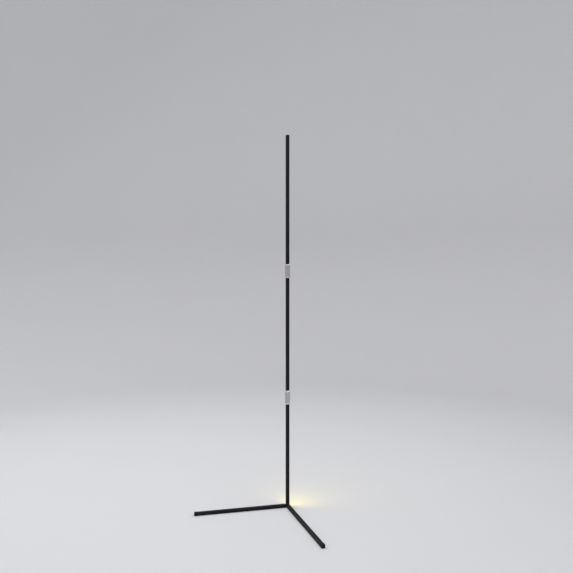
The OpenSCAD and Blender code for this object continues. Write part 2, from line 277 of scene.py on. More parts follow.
def core_outline(pole):
    """Everything inside the walls, open to the far side."""
    low = ROOT_TWO * (POLE_HALF - pole.wall)
    far = 2 * POLE_REACH
    return rounded([(0, -low), (low + far, far), (-low - far, far)], pole.edge_radius)[0]


def strip_outline(pole, strip, steps=72):
    """The diffuser: an outer and an inner arc, joined by a hook under the lip of each wall."""
    inner = POLE_HALF - pole.wall
    end = POLE_HALF - pole.lip_reach - strip.hook_gap
    face = inner - strip.wall_gap
    shift = strip.centre / ROOT_TWO
    meet = across_wall(end, math.sqrt(strip.radius ** 2 - (end - shift) ** 2) - shift)
    toe = across_wall(face - ROOT_TWO * strip.toe, face)
    start = math.asin((meet[1] - strip.centre) / strip.radius)
    toe_angle = -math.asin((strip.toe + strip.centre) / (strip.radius - strip.thickness))
    hook = [toe, across_wall(end, face)]
    centre = (0, strip.centre)
    return np.concatenate([
        arc(strip.radius, start, math.pi - start, steps, centre),
        mirrored(hook),
        arc(strip.radius - strip.thickness, math.pi - toe_angle, toe_angle, steps, centre),
        hook,
    ])


def pole_outline(pole, strip, grow=0.0, steps=48):
    """The pole's outside: the walls' two faces, their tips and the arc of the diffuser."""
    reach = POLE_REACH + grow * ROOT_TWO
    cut = pole.lip_reach + pole.lip_step
    radius = strip.radius + grow
    start = math.asin((cut - strip.centre) / radius)
    tip = [(reach, 0), (reach - cut, cut)]
    return np.concatenate([
        [(0, -reach)],
        tip,
        arc(radius, start, math.pi - start, steps, (0, strip.centre)),
        mirrored(tip),
    ])


def box_outline(width, height, radius):
    """A rectangle about the origin with round corners."""
    x, y = width / 2, height / 2
    return rounded([(x, -y), (x, y), (-x, y), (-x, -y)], radius, CLOSE_STEPS)[0]


# ---------- surfaces ----------

def inset(outline, amount):
    """The outline moved inwards along its normals, which are the turned central differences."""
    tangent = np.roll(outline, -1, 0) - np.roll(outline, 1, 0)
    normal = np.stack([tangent[:, 1], -tangent[:, 0]], 1)
    normal /= np.linalg.norm(normal, axis=1, keepdims=True)
    return outline - normal * amount


def strips(ring_count, ring_size, first=0, inside_out=False):
    """Four-cornered faces between neighbouring rings: (i, j), (i, j+1), (i+1, j+1), (i+1, j)."""
    ring = np.arange(ring_size)
    after = np.roll(ring, -1)
    low = (np.arange(ring_count - 1) * ring_size)[:, None] + first
    high = low + ring_size
    faces = np.stack([low + ring, low + after, high + after, high + ring], -1).reshape(-1, 4)
    return faces[:, ::-1] if inside_out else faces


def end_faces(loops, starts, upward):
    """Triangles over the area between the first loop and the others, facing up or down."""
    flat = np.concatenate(loops)
    index = np.concatenate([first + np.arange(len(loop)) for loop, first in zip(loops, starts)])
    flat3 = [np.column_stack([loop, np.zeros(len(loop))]).tolist() for loop in loops]
    triangles = np.array(tessellate_polygon(flat3))
    a, b, c = (flat[triangles[:, k]] for k in range(3))
    ab, ac = b - a, c - a
    rises = ab[:, 0] * ac[:, 1] - ab[:, 1] * ac[:, 0] > 0
    triangles[rises != upward] = triangles[rises != upward][:, ::-1]
    return index[triangles]


def turned_grid(radius, height, segments):
    """A profile of radii and heights turned about Z, with a evenly round the circle:
    point(i, j) = (r i cos a j, r i sin a j, h i)."""
    angle = np.linspace(0, 2 * np.pi, segments, endpoint=False)
    x, y = radius[:, None] * np.cos(angle), radius[:, None] * np.sin(angle)
    return np.stack([x, y, np.broadcast_to(height[:, None], x.shape)], 2)


class Surface:
    """Points and faces gathered for one piece. Parts of a piece are added one after another."""

    def __init__(self):
        self.points, self.faces, self.edges, self.count = [], [], [], 0

    def add(self, points, faces, edge=None):
        """Adds points and the faces between them, whose indices start at the first new point."""
        self.points.append(np.asarray(points, float).reshape(-1, 3))
        self.edges.append(np.zeros(len(self.points[-1])) if edge is None else np.ravel(edge))
        self.faces += [(np.asarray(block) + self.count).tolist() for block in faces]
        self.count += len(self.points[-1])

    def prism(self, outline, stations, hole=None, hole_stations=(), edge=None):
        """An outline carried up Z. Each station is a height and how far the outline is drawn in
        there: point(i, j) = (outline j - normal j * inset i, height i). A hole's outline is drawn
        out in the same way. The points that are drawn in furthest count as edges."""
        blocks, faces, first, starts, lows, highs = [], [], 0, [], [], []
        lines = [(outline, stations, 1)]
        if hole is not None:
            lines.append((hole, hole_stations or stations, -1))
        for loop, rows, sign in lines:
            flat = np.stack([inset(loop, sign * amount) for _, amount in rows])
            tall = np.broadcast_to(np.array([height for height, _ in rows])[:, None, None],
                                   (*flat.shape[:2], 1))
            blocks.append(np.concatenate([flat, tall], 2).reshape(-1, 3))
            faces.append(strips(len(rows), len(loop), first, inside_out=sign < 0))
            lows.append(flat[0])
            highs.append(flat[-1])
            starts.append((first, first + (len(rows) - 1) * len(loop)))
            first += len(rows) * len(loop)
        faces.append(end_faces(lows, [start for start, _ in starts], upward=False))
        faces.append(end_faces(highs, [start for _, start in starts], upward=True))
        # Edge weights: wear, and on the sleeves a painted highlight
        edge_weight = np.zeros(first)
        if edge is not None:
            drawn = np.array([amount for _, amount in stations])
            furthest = ((drawn > 0) & (drawn == drawn.max())).astype(float)[:, None]
            edge_weight[: len(stations) * len(outline)] = np.maximum(edge[None], furthest).ravel()
        self.add(np.concatenate(blocks), faces, edge_weight)
        return self

    def rings(self, rings, edge=None):
        """Rings of equal size joined one to the next, the first and last closed flat."""
        rings = np.asarray(rings, float)
        count, size = rings.shape[:2]
        ends = [np.arange(size)[::-1][None], (np.arange(size) + (count - 1) * size)[None]]
        self.add(rings, [strips(count, size), *ends], edge)
        return self

    def turned(self, profile, segments=48):
        """A turned profile whose first and last rings are closed flat, so it runs up the outside
        from the bottom."""
        return self.rings(turned_grid(*np.array(profile, float).T, segments))

    def placed(self, origin=(0, 0, 0), x_axis=(1, 0, 0), z_axis=(0, 0, 1)):
        """Moves all points so far to origin + x X + y Y + z Z. Y is square to the other two."""
        x, z = np.array(x_axis, float), np.array(z_axis, float)
        axes = np.stack([x, np.cross(z, x), z])
        self.points = [points @ axes + np.array(origin) for points in self.points]
        return self

    def mesh(self, sharp_from=SHARP_FROM):
        """The gathered points and faces as a Blender mesh, with the edge attribute, which marks
        wear and, on the sleeves, a painted highlight.
        """
        mesh = bpy.data.meshes.new("surface")
        faces = [face for block in self.faces for face in block]
        mesh.from_pydata(np.concatenate(self.points).tolist(), [], faces)
        layer = mesh.attributes.new("edge", "FLOAT", "POINT")
        layer.data.foreach_set("value", np.concatenate(self.edges).astype(np.float32))
        mesh.validate()
        return shade(mesh, sharp_from)


def shade(mesh, sharp_from=SHARP_FROM):
    """Smooth shading that breaks where two faces turn by more than an angle."""
    mesh.shade_smooth()
    mesh.set_sharp_from_angle(angle=sharp_from)
    return mesh


def add_piece(name, mesh, body, material, node):
    """Makes a piece of the lamp from a mesh, ties it to its body and hides the solid that it
    stands for. The large faces set the normals at their edges, so a fine rounding beside one
    leaves it flat."""
    mesh.name = name
    mesh.materials.clear()
    mesh.materials.append(material)
    piece = bpy.data.objects.new(name, mesh)
    bpy.context.scene.collection.objects.link(piece)
    even = piece.modifiers.new("even_normals", "WEIGHTED_NORMAL")
    even.mode = "FACE_AREA"
    even.keep_sharp = True
    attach(piece, body)
    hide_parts(node)


def worked(surface, tools, operation):
    """The surface's mesh with each tool's volume taken away by DIFFERENCE or joined on by UNION.
    Points closer than MERGE are made one, so no sliver is left where two faces lay in a plane."""
    body = bpy.data.objects.new("blank", surface.mesh())
    bpy.context.scene.collection.objects.link(body)
    used = []
    for tool in tools:
        item = bpy.data.objects.new("tool", tool.mesh())
        bpy.context.scene.collection.objects.link(item)
        modifier = body.modifiers.new("work", "BOOLEAN")
        modifier.operation = operation
        modifier.solver = "EXACT"
        modifier.object = item
        used.append(item)
    bpy.context.view_layer.update()
    finished = body.evaluated_get(bpy.context.evaluated_depsgraph_get())
    done = bpy.data.meshes.new_from_object(finished)
    for item in [body, *used]:
        bpy.data.objects.remove(item)
    clean = bmesh.new()
    clean.from_mesh(done)
    bmesh.ops.remove_doubles(clean, verts=clean.verts, dist=MERGE)
    bmesh.ops.dissolve_degenerate(clean, edges=clean.edges, dist=MERGE)
    clean.to_mesh(done)
    clean.free()
    return shade(done)


def dress(material, *nodes):
    """Gives a material to solids that stay as they are."""
    for name in nodes:
        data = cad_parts[name].data
        data.materials.clear()
        data.materials.append(material)


# ---------- materials ----------

# Scales of the noises along X, Y and Z
EVEN = (1, 1, 1)
EXTRUSION_LINES = (1500, 1500, 5)
BRUSHED_LINES = (2600, 2600, 30)
DRAWN_LINES = (400, 400, 3000)
LENGTHWISE = (1, 1, 0.08)
# Colours of worn powder coat and of blackened screws
WORN_POWDER = (0.045, 0.045, 0.048)
BLACK_OXIDE = (0.035, 0.035, 0.038)


def scaled(base, by):
    """A colour made lighter or darker."""
    return tuple(min(1.0, by * part) for part in base)


class Finish:
    """A node material round one Principled shader. Patterns read Object coordinates, in metres."""

    def __init__(self, name, base, roughness, metallic=0.0, specular=0.5):
        self.material = bpy.data.materials.new(name)
        self.material.use_nodes = True
        self.tree = self.material.node_tree
        self.shader = self.tree.nodes["Principled BSDF"]
        self.base = (*base, 1.0)
        self.shader.inputs["Base Color"].default_value = self.base
        self.shader.inputs["Roughness"].default_value = roughness
        self.shader.inputs["Metallic"].default_value = metallic
        self.shader.inputs["Specular IOR Level"].default_value = specular
        self.place = self.node("ShaderNodeTexCoord").outputs["Object"]

    def node(self, kind, inputs=None, **settings):
        """A node with its settings, and with inputs that are values or other nodes' sockets."""
        made = self.tree.nodes.new(kind)
        for key, value in settings.items():
            setattr(made, key, value)
        for key, value in (inputs or {}).items():
            if isinstance(value, bpy.types.NodeSocket):
                self.tree.links.new(value, made.inputs[key])
            else:
                made.inputs[key].default_value = value
        return made

    def math(self, operation, a, b=0.0, c=0.0):
        """One arithmetic node."""
        return self.node("ShaderNodeMath", {0: a, 1: b, 2: c}, operation=operation).outputs[0]

    def times(self, a, b):
        """The product of two values."""
        return self.math("MULTIPLY", a, b)

    def away(self, value, middle):
        """How far a value is from a middle."""
        return self.math("ABSOLUTE", self.math("SUBTRACT", value, middle))

    def axes(self, heading=0.0):
        """The three Object coordinates, turned so that X runs along a heading."""
        turned = self.node("ShaderNodeVectorRotate",
                           {"Vector": self.place, "Angle": -heading}, rotation_type="Z_AXIS")
        return self.node("ShaderNodeSeparateXYZ", {0: turned.outputs[0]}).outputs

    def noise(self, scale, stretch=EVEN, detail=3.0, distortion=0.0):
        """Smooth noise with scale features to the metre. Stretch is the scale along each axis."""
        at = self.node("ShaderNodeMapping", {"Vector": self.place, "Scale": stretch})
        return self.node("ShaderNodeTexNoise", {
            "Vector": at.outputs[0], "Scale": scale, "Detail": detail, "Distortion": distortion,
        }).outputs[0]

    def between(self, value, low, high, start=0.3, end=0.7):
        """Maps value from start..end to low..high, with soft ends."""
        return self.node("ShaderNodeMapRange", {
            "Value": value, "From Min": start, "From Max": end, "To Min": low, "To Max": high,
        }, interpolation_type="SMOOTHSTEP").outputs[0]

    def feed(self, name, value):
        """Links a value to one of the shader's inputs."""
        self.tree.links.new(value, self.shader.inputs[name])
        return self

    def fed(self, name, default):
        """What is linked to one of the shader's inputs so far, or else a default."""
        links = self.shader.inputs[name].links
        return links[0].from_socket if links else default

    def tint(self, factor, other):
        """Goes from the base colour to another by factor, on top of what was set before."""
        colours = {0: factor, 6: self.fed("Base Color", self.base), 7: (*other, 1.0)}
        return self.feed("Base Color",
                         self.node("ShaderNodeMix", colours, data_type="RGBA").outputs[2])

    def gloss(self, value, low, high):
        """Roughness from low to high as value goes from 0.3 to 0.7."""
        return self.feed("Roughness", self.between(value, low, high))

    def relief(self, height, depth, strength):
        """Bump of the given real depth in metres, added to any set before."""
        inputs = {"Height": height, "Distance": depth, "Strength": strength}
        before = self.fed("Normal", None)
        if before:
            inputs["Normal"] = before
        return self.feed("Normal", self.node("ShaderNodeBump", inputs).outputs[0])

    def edges(self, amount):
        """A mask from the mesh's edge attribute."""
        edge = self.node("ShaderNodeAttribute", attribute_name="edge").outputs["Fac"]
        return self.times(edge, amount)

    def worn_edges(self, amount, stretch=EVEN):
        """The mask of the edges, broken up by noise that may be stretched along an axis."""
        patchy = self.between(self.noise(420.0, stretch, detail=6.0), 0.1, 1.0, 0.42, 0.68)
        return self.times(self.edges(amount), patchy)


def anodised_black(pole):
    """Black satin aluminium with the fine lengthwise lines of an extrusion."""
    finish = Finish("anodised_black", pole.black, 0.5, specular=0.2)
    lines = finish.noise(1.0, EXTRUSION_LINES, detail=4.0)
    cloud = finish.noise(22.0, detail=4.0)
    finish.tint(finish.between(lines, 0.0, 0.6), scaled(pole.black, 3.2))
    finish.tint(finish.worn_edges(0.5, LENGTHWISE), pole.bare)
    both = finish.math("ADD", finish.times(lines, 0.5), finish.times(cloud, 0.5))
    finish.gloss(both, 0.44, 0.60)
    return finish.relief(lines, 0.02 * MM, 0.8).material


def anodised_silver(sleeve, joint, low, high):
    """Satin silver aluminium, brushed lengthwise, with a polished band at each end and a painted
    highlight along the upright edges and end chamfers.
    """
    finish = Finish("anodised_silver_" + joint, sleeve.silver, 0.36, metallic=1.0)
    lines = finish.noise(1.0, BRUSHED_LINES, detail=5.0)
    cloud = finish.noise(60.0, detail=3.0)
    bluish = (0.42, 0.43, 0.46)
    finish.tint(finish.between(lines, 0.0, 0.35), scaled(sleeve.silver, 0.72))
    finish.tint(finish.between(cloud, 0.0, 0.12), bluish)
    _, _, up = finish.axes()
    start = (high - low) / 2 - sleeve.band
    band = finish.between(finish.away(up, (low + high) / 2), 0.0, 1.0, start - 0.1 * MM, start)
    finish.tint(finish.times(band, 0.8), sleeve.polished)
    # Painted highlight: the upright edges and end chamfers take the lighter silver
    finish.tint(finish.edges(0.4), sleeve.polished)
    finish.gloss(finish.math("SUBTRACT", lines, finish.times(band, 0.25)), 0.26, 0.44)
    return finish.relief(lines, 0.012 * MM, 0.5).material


def powder_coat(leg, name, heading, half_width, half_height, level):
    """Fine-textured black powder coat on a bar, thinner and paler along its long edges. A point is
    near an edge when it is near a side and near the top or bottom."""
    finish = Finish("powder_coat_" + name, leg.powder, 0.7, specular=0.2)
    grain = finish.noise(2600.0, detail=2.0)
    peel = finish.noise(650.0, detail=2.0)
    _, across, up = finish.axes(heading)
    side = finish.math("DIVIDE", finish.math("ABSOLUTE", across), half_width)
    tall = finish.math("DIVIDE", finish.away(up, level), half_height)
    edge = finish.between(finish.math("MINIMUM", side, tall), 0.0, 1.0, 0.88, 0.99)
    patchy = finish.between(finish.noise(120.0, detail=6.0), 0.1, 0.6, 0.45, 0.7)
    finish.tint(finish.between(grain, 0.0, 0.6), scaled(leg.powder, 3.0))
    finish.tint(finish.times(edge, patchy), WORN_POWDER)
    finish.gloss(grain, 0.58, 0.8)
    return finish.relief(grain, 0.05 * MM, 0.8).relief(peel, 0.09 * MM, 0.5).material


def moulded(name, base, roughness, grain=1800.0):
    """Moulded plastic with a fine eroded texture and a slight clouding."""
    finish = Finish(name, base, roughness, specular=0.3)
    texture = finish.noise(grain, detail=2.0)
    cloud = finish.noise(90.0, detail=4.0)
    rubbed = tuple(min(1.0, part + 0.01) for part in scaled(base, 3.0))
    finish.tint(finish.between(cloud, 0.0, 0.4), scaled(base, 1.5))
    finish.tint(finish.worn_edges(0.35), rubbed)
    finish.gloss(texture, roughness - 0.07, roughness + 0.09)
    return finish.relief(texture, 0.02 * MM, 0.5).material


def rubber(leg):
    """Matte moulded rubber with a fine grain, greyer on its outward edges."""
    finish = Finish("black_rubber", leg.rubber, 0.78, specular=0.22)
    grain = finish.noise(1500.0, detail=3.0)
    bloom = finish.noise(75.0, detail=5.0)
    dusty, rubbed = (0.016, 0.016, 0.0165), (0.03, 0.03, 0.03)
    finish.tint(finish.between(bloom, 0.0, 0.45), dusty)
    finish.tint(finish.worn_edges(0.4), rubbed)
    finish.gloss(bloom, 0.68, 0.86)
    return finish.relief(grain, 0.035 * MM, 0.6).material


def plated(name, base, roughness):
    """Plated metal: even colour with a faint crystalline clouding and fine drawing lines."""
    finish = Finish(name, base, roughness, metallic=1.0)
    cloud = finish.noise(500.0, detail=4.0, distortion=0.6)
    lines = finish.noise(1.0, DRAWN_LINES)
    finish.tint(finish.between(cloud, 0.0, 0.4), scaled(base, 0.7))
    finish.gloss(cloud, roughness - 0.08, roughness + 0.12)
    return finish.relief(lines, 0.008 * MM, 0.4).material


# The chips stand about this far from each other, in even steps
CHIP_PITCH = 34 * MM


def chip_offset(finish, section):
    """Distance up or down to the nearest light chip:
    |fraction((z - first) / step + 1/2) - 1/2| step."""
    low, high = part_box(section + "_leds")
    size = high.x - low.x
    first, last = low.z + size / 2, high.z - size / 2
    step = (last - first) / round((last - first) / CHIP_PITCH)
    _, _, up = finish.axes()
    turns = finish.math("DIVIDE", finish.math("SUBTRACT", up, first - step / 2), step)
    return finish.times(finish.away(finish.math("FRACT", turns), 0.5), step)


# Height of each colour of the light, as a share of the lamp's height
GLOW_STOPS = (
    ("foot", 0.03), ("lime", 0.09), ("green", 0.21), ("cyan", 0.35),
    ("blue", 0.46), ("violet", 0.62), ("magenta", 0.76), ("crimson", 0.95),
)


def milky_glow(section, strip, glow):
    """Milky plastic lit from behind: the colour runs with height, and each chip makes a soft spot
    exp(-(distance / spread)^2)."""
    finish = Finish("milky_glow_" + section, strip.milky, 0.45)
    _, _, up = finish.axes()
    ramp = finish.node("ShaderNodeValToRGB", {0: finish.math("DIVIDE", up, LAMP_TOP)})
    stops = ramp.color_ramp.elements
    for key, height in GLOW_STOPS[1:-1]:
        stops.new(height)
    for stop, (key, height) in zip(stops, GLOW_STOPS):
        stop.position = height
        stop.color = (*getattr(glow, key), 1.0)
    near = finish.math("DIVIDE", chip_offset(finish, section), strip.spot_spread)
    spot = finish.math("EXPONENT", finish.times(finish.times(near, near), -1.0))
    bright = finish.math("MULTIPLY_ADD", spot, strip.spot_gain, 1.0)
    finish.feed("Emission Color", ramp.outputs[0])
    finish.feed("Emission Strength", finish.times(bright, strip.brightness))
    grain = finish.noise(900.0, detail=2.0)
    finish.gloss(grain, 0.38, 0.52)
    return finish.relief(grain, 0.01 * MM, 0.3).material


def circuit_board(section, inside):
    """White solder mask over raised copper tracks, with bare tinned pads beside each chip."""
    finish = Finish("board_" + section, inside.board, 0.38)
    across, _, _ = finish.axes()
    off_middle = finish.math("ABSOLUTE", across)
    track_step, over_track, tinned = 0.9 * MM, (0.66, 0.72, 0.64), (0.72, 0.70, 0.66)
    track = finish.between(finish.math("PINGPONG", off_middle, track_step),
                           0.0, 1.0, 0.35 * MM, 0.55 * MM)
    beside = finish.between(off_middle, 0.0, 1.0, 2.55 * MM, 2.6 * MM)
    inboard = finish.between(off_middle, 1.0, 0.0, 3.4 * MM, 3.45 * MM)
    level = finish.between(chip_offset(finish, section), 1.0, 0.0, 1.9 * MM, 1.95 * MM)
    pad = finish.times(finish.times(beside, inboard), level)
    finish.tint(finish.times(track, 0.25), over_track)
    finish.tint(pad, tinned)
    finish.feed("Metallic", pad)
    finish.gloss(finish.noise(700.0), 0.3, 0.46)
    return finish.relief(track, 0.035 * MM, 0.8).material


def light_chip(section, inside):
    """White chip package with a round yellow lens and plated feet at both sides."""
    white, tinned = (0.82, 0.82, 0.79), (0.62, 0.62, 0.60)
    finish = Finish("light_chip_" + section, white, 0.35)
    across, _, _ = finish.axes()
    offset = chip_offset(finish, section)
    square = finish.math("ADD", finish.times(across, across), finish.times(offset, offset))
    lens = finish.between(finish.math("SQRT", square), 1.0, 0.0, 2.0 * MM, 2.12 * MM)
    foot = finish.between(finish.math("ABSOLUTE", across), 0.0, 1.0, 2.44 * MM, 2.47 * MM)
    finish.tint(lens, inside.lens)
    finish.tint(foot, tinned)
    finish.feed("Metallic", foot)
    return finish.relief(finish.noise(1200.0), 0.01 * MM, 0.3).material


def pale_floor(stage):
    """Plain pale matte floor with a barely visible mottle."""
    finish = Finish("pale_floor", stage.pale, 0.75, specular=0.2)
    cloud = finish.noise(2.5, detail=4.0)
    finish.tint(finish.between(cloud, 0.0, 0.15), scaled(stage.pale, 0.96))
    return finish.relief(finish.noise(240.0), 0.05 * MM, 0.2).material


# ---------- makers ----------

def settings():
    """The lamp's settings in the scene."""
    return bpy.context.scene.corner_lamp


def span(node):
    """Lowest and highest Z of a solid."""
    low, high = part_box(node)
    return low.z, high.z


def middle(node):
    """Height of a solid's middle."""
    return sum(span(node)) / 2


def reach_and_heading(node):
    """Level distance and direction from the pole's axis to the middle of a solid."""
    low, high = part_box(node)
    x, y = low.x + high.x, low.y + high.y
    return math.hypot(x, y) / 2, math.atan2(y, x)


def ends(low, high, chamfer):
    """Stations of a straight length with a chamfer at both ends."""
    return [(low, chamfer), (low + chamfer, 0.0), (high - chamfer, 0.0), (high, chamfer)]


def drill(profile, side, height):
    """A turned cutter square to the left or right wall of the pole, as seen from the room. The
    heights of its profile count outwards from the wall's face."""
    outward = np.array([-1.0 if side == "left" else 1.0, -1.0, 0.0]) / ROOT_TWO
    origin = outward * POLE_HALF + np.array([0, 0, height])
    return Surface().turned(profile).placed(origin, x_axis=(0, 0, 1), z_axis=outward)


def countersink(side):
    """The hole for one of the screws that hold the foot block, as wide as its head at the face."""
    low, high = span("foot_block_screws")
    play, slope, through = 0.1 * MM, 1.0 * MM, 3 * MM
    head = (high - low) / 2 + play
    shank = head - slope
    profile = [(shank, -through), (shank, -play - slope), (head, -play), (head, CLEAR)]
    return drill(profile, side, (low + high) / 2)


def make_pole():
    """The three black sections."""
    pole = settings().pole
    black = anodised_black(pole)
    outline, edge = section_outline(pole)
    channel = channel_outline(pole)
    for section in SECTIONS:
        name = section + "_profile"
        low, high = span(name)
        surface = Surface().prism(outline, ends(low, high, pole.end_chamfer), channel, edge=edge)
        cutters = []
        if section == "lower":
            block_room = [(low - CLEAR, 0.0), (span("lower_diffuser")[0], 0.0)]
            cutters.append(Surface().prism(core_outline(pole), block_room))
            cutters += [countersink(side) for side in SIDES]
        mesh = worked(surface, cutters, "DIFFERENCE") if cutters else surface.mesh()
        add_piece(name + "_shell", mesh, SECTION_BODY[section], black, name)


def make_light_strips():
    """The milky diffusers, lit from within."""
    lamp = settings()
    outline = strip_outline(lamp.pole, lamp.strip)
    for section in SECTIONS:
        name = section + "_diffuser"
        low, high = span(name)
        surface = Surface().prism(outline, [(low, 0.0), (high, 0.0)])
        add_piece(name + "_strip", surface.mesh(), SECTION_BODY[section],
                  milky_glow(section, lamp.strip, lamp.glow), name)


def grub_holes(joint, sleeve_half):
    """Cutters for the two grub screws in a sleeve's left face."""
    low, high = span(joint + "_collar_screws")
    radius = 1.5 * MM
    profile = [(radius, -CLEAR), (radius, sleeve_half - POLE_HALF + 2 * CLEAR)]
    return [drill(profile, "left", height) for height in (low + radius, high - radius)]


def grooved(stations, sleeve):
    """The stations of a straight length with a shallow groove behind the band at each end."""
    low, high = stations[0][0], stations[-1][0]
    depths = [0.0, sleeve.groove_depth, sleeve.groove_depth, 0.0]
    starts = sleeve.band + np.arange(len(depths)) * sleeve.groove_width / 3
    groove = list(zip(starts, depths))
    lower = [(low + start, depth) for start, depth in groove]
    upper = [(high - start, depth) for start, depth in reversed(groove)]
    return stations[:2] + lower + upper + stations[2:]


def make_sleeves():
    """The silver sleeves over the joints, with their screw holes."""
    lamp = settings()
    sleeve = lamp.sleeve
    screw = plated("black_oxide", BLACK_OXIDE, 0.38)
    cavity = pole_outline(lamp.pole, lamp.strip, sleeve.clearance)
    for joint, body in SLEEVE_BODY.items():
        name = joint + "_collar"
        low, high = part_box(name)
        reach = high.x + (ROOT_TWO - 1) * sleeve.corner_radius
        corners = [(0, -reach), (reach, 0), (0, reach), (-reach, 0)]
        outline, edge = rounded(corners, sleeve.corner_radius, CLOSE_STEPS)
        plain = ends(low.z, high.z, sleeve.end_chamfer)
        surface = Surface().prism(outline, grooved(plain, sleeve), cavity, plain, edge)
        mesh = worked(surface, grub_holes(joint, reach / ROOT_TWO), "DIFFERENCE")
        silver = anodised_silver(sleeve, joint, low.z, high.z)
        add_piece(name + "_sleeve", mesh, body, silver, name)
        dress(screw, joint + "_collar_screws")


def make_top_cap():
    """The moulded cap: its edge follows the pole and rounds over to a flat top. At a height of
    side + over sin t it is drawn in towards a centre by draw (1 - cos t). A plug is below."""
    lamp = settings()
    side, draw, centre = 0.9 * MM, 0.30, np.array([0.0, -1.0 * MM])
    plug_size, plug_corner, plug_middle = (7.6 * MM, 4.0 * MM), 0.5 * MM, np.array([0.0, 1.0 * MM])
    taper, lead = 0.4 * MM, 0.6 * MM
    low, high = span("top_cap")
    seat = span("upper_profile")[1]
    outline = pole_outline(lamp.pole, lamp.strip)
    over = high - seat - side
    heights = np.concatenate([[seat], seat + side + over * np.sin(QUARTER_TURN)])
    scales = np.concatenate([[1.0], 1 - draw * (1 - np.cos(QUARTER_TURN))])
    flat = centre + (outline - centre)[None] * scales[:, None, None]
    tall = np.broadcast_to(heights[:, None, None], (*flat.shape[:2], 1))
    edge_weight = np.concatenate([[0.0], np.sin(2 * QUARTER_TURN)])
    edge = np.broadcast_to(edge_weight[:, None], flat.shape[:2])
    cap = Surface().rings(np.concatenate([flat, tall], 2), edge)
    plug = box_outline(*plug_size, plug_corner) + plug_middle
    stem = Surface().prism(plug, [(low, taper), (low + lead, 0.0), (seat + side, 0.0)])
    black = moulded("moulded_black_cap", lamp.inside.moulded, 0.48)
    add_piece("top_cap_moulding", worked(cap, [stem], "UNION"), "upper_section", black,
              "top_cap")


# Bevel and flare of a boot's mouth, and how worn each of its rings is
BOOT_LIP = 0.25 * MM
BOOT_FLARE = 0.1 * MM
BOOT_WEAR = (0, 0, 0, 1, 1, 1, 0, 0, 0.2, 0.5, 0.8, 1, 0.8, 0)


def boot_surface(leg, near, far, level, width, height):
    """A boot along X: up the cavity's wall, round the rim, along the outside and round the closed
    end. Ring(i) is a round-cornered rectangle drawn in by inset(i) at distance(i)."""
    outer = box_outline(width, height, leg.boot_corner)
    inner = box_outline(width - 2 * leg.boot_wall, height - 2 * leg.boot_wall, leg.bar_corner)
    rim = near + leg.boot_rim
    rings = [
        (inner, far - leg.boot_end, 0.0), (inner, near + BOOT_LIP, 0.0),
        (inner, near, -BOOT_FLARE), (outer, near, BOOT_LIP), (outer, near + BOOT_LIP, 0.0),
        (outer, rim, 0.0), (outer, rim + BOOT_LIP, leg.boot_relief),
    ]
    ends_at = far - leg.boot_round * (1 - np.sin(QUARTER_TURN))
    drawn_in = leg.boot_relief + leg.boot_round * (1 - np.cos(QUARTER_TURN))
    rings += [(outer, at, amount) for at, amount in zip(ends_at, drawn_in)]
    loops = np.array([
        np.column_stack([np.full(len(line), at), inset(line, amount)])
        for line, at, amount in rings
    ])
    edge_weight = np.broadcast_to(np.array(BOOT_WEAR)[:, None], loops.shape[:2])
    return Surface().rings(loops + np.array([0, 0, level]), edge_weight)


def make_legs():
    """The powder-coated bars, their boots and the pads under them."""
    leg = settings().leg
    black = rubber(leg)
    # Bars are wider than high by this much
    extra_width = 1 * MM
    pad_corner, pad_soft, centre_soft = 1.2 * MM, 0.25 * MM, 0.4 * MM
    for side in SIDES:
        body = side + "_leg"
        boot_low, boot_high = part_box(body + "_cap")
        boot_out, heading = reach_and_heading(body + "_cap")
        towards = (math.cos(heading), math.sin(heading), 0)
        height = boot_high.z - boot_low.z
        width = height + extra_width
        # The boot's box is its length along the heading plus its width across it
        run = (boot_high.x - boot_low.x - width * abs(towards[1])) / abs(towards[0])
        boot = boot_surface(leg, boot_out - run / 2, boot_out + run / 2, middle(body + "_cap"),
                            width, height)
        bar_low, bar_high = span(body + "_bar")
        coat = powder_coat(leg, side, heading, width / 2 - leg.boot_wall, (bar_high - bar_low) / 2,
                           middle(body + "_bar"))
        dress(coat, body + "_bar")
        add_piece(body + "_boot", boot.placed(x_axis=towards).mesh(), body, black,
                  body + "_cap")
        node = side + "_foot_pad"
        low, high = span(node)
        outline = box_outline(leg.pad_length, leg.pad_width, pad_corner)
        outline += (reach_and_heading(node)[0], 0)
        pad = Surface().prism(outline, [(low, pad_soft), (low + pad_soft, 0.0), (high, 0.0)])
        add_piece(side + "_pad", pad.placed(x_axis=towards).mesh(), body, black,
                  node)
    low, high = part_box("centre_foot_pad")
    radius = high.x
    bend_in, bend_up = 0.1 * MM, 0.12 * MM
    profile = [(radius - centre_soft, low.z), (radius - bend_in, low.z + bend_up),
               (radius, low.z + centre_soft), (radius, high.z)]
    add_piece("centre_pad", Surface().turned(profile).mesh(), "left_leg", black,
              "centre_foot_pad")


def facing_back(profile, node, segments=48):
    """A profile turned about the line through a solid's middle that runs away from the room."""
    surface = Surface().turned(profile, segments)
    return surface.placed((0, 0, middle(node)), x_axis=(1, 0, 0), z_axis=(0, 1, 0)).mesh()


